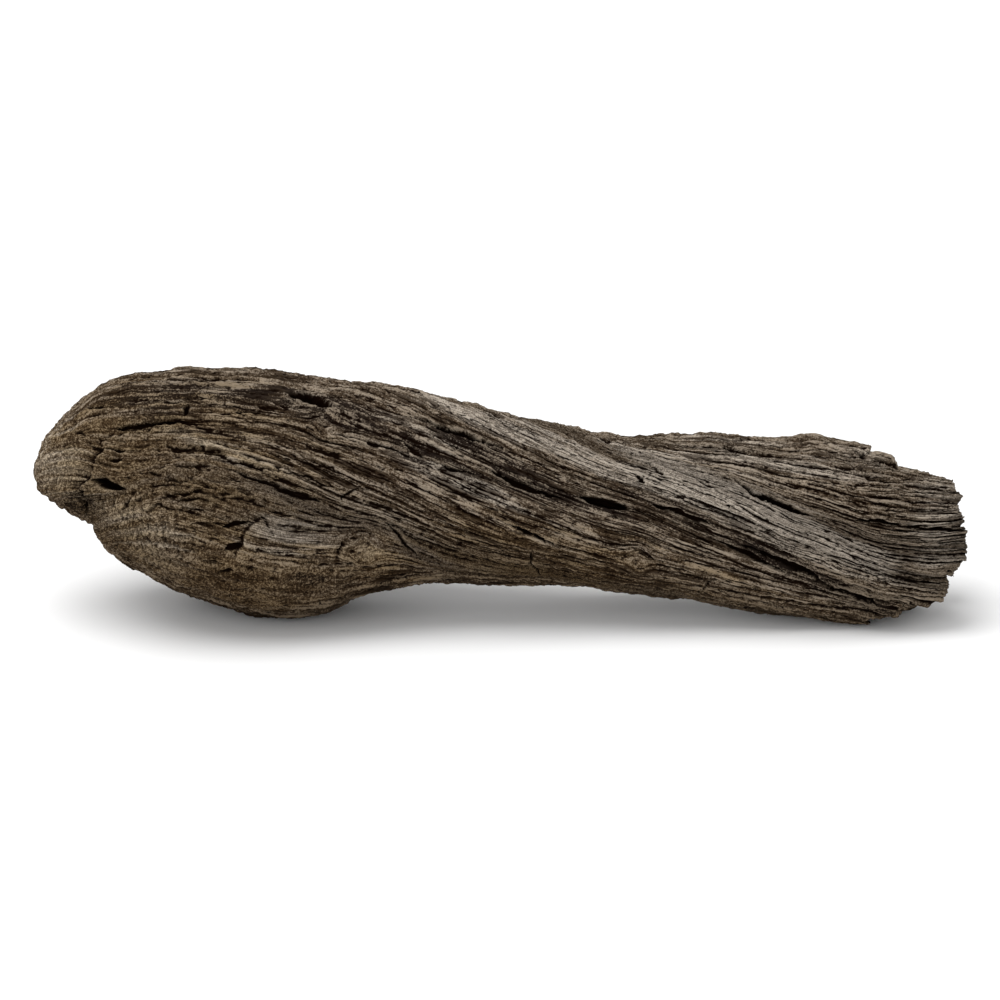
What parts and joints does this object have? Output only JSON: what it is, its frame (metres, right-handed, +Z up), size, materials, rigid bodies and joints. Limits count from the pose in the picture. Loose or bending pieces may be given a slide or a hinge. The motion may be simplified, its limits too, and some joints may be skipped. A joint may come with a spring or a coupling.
{
  "type": "driftwood piece",
  "caption": "Weathered length of spiral-grained driftwood, with a rounded burl at one end and a flared, splintered break at the other.",
  "frame": {"origin": "centre of the bounding box's bottom face, on the surface that the piece lies on", "axes": "+X along the wood from the burl to the break, +Z up, -Y towards the front"},
  "size_m": [0.4204, 0.111, 0.112],
  "materials": {
    "weathered_wood": "bare, dry, deeply weathered grain"
  },
  "bodies": {
    "root": {"driftwood": "weathered_wood"}
  },
  "joints": []
}
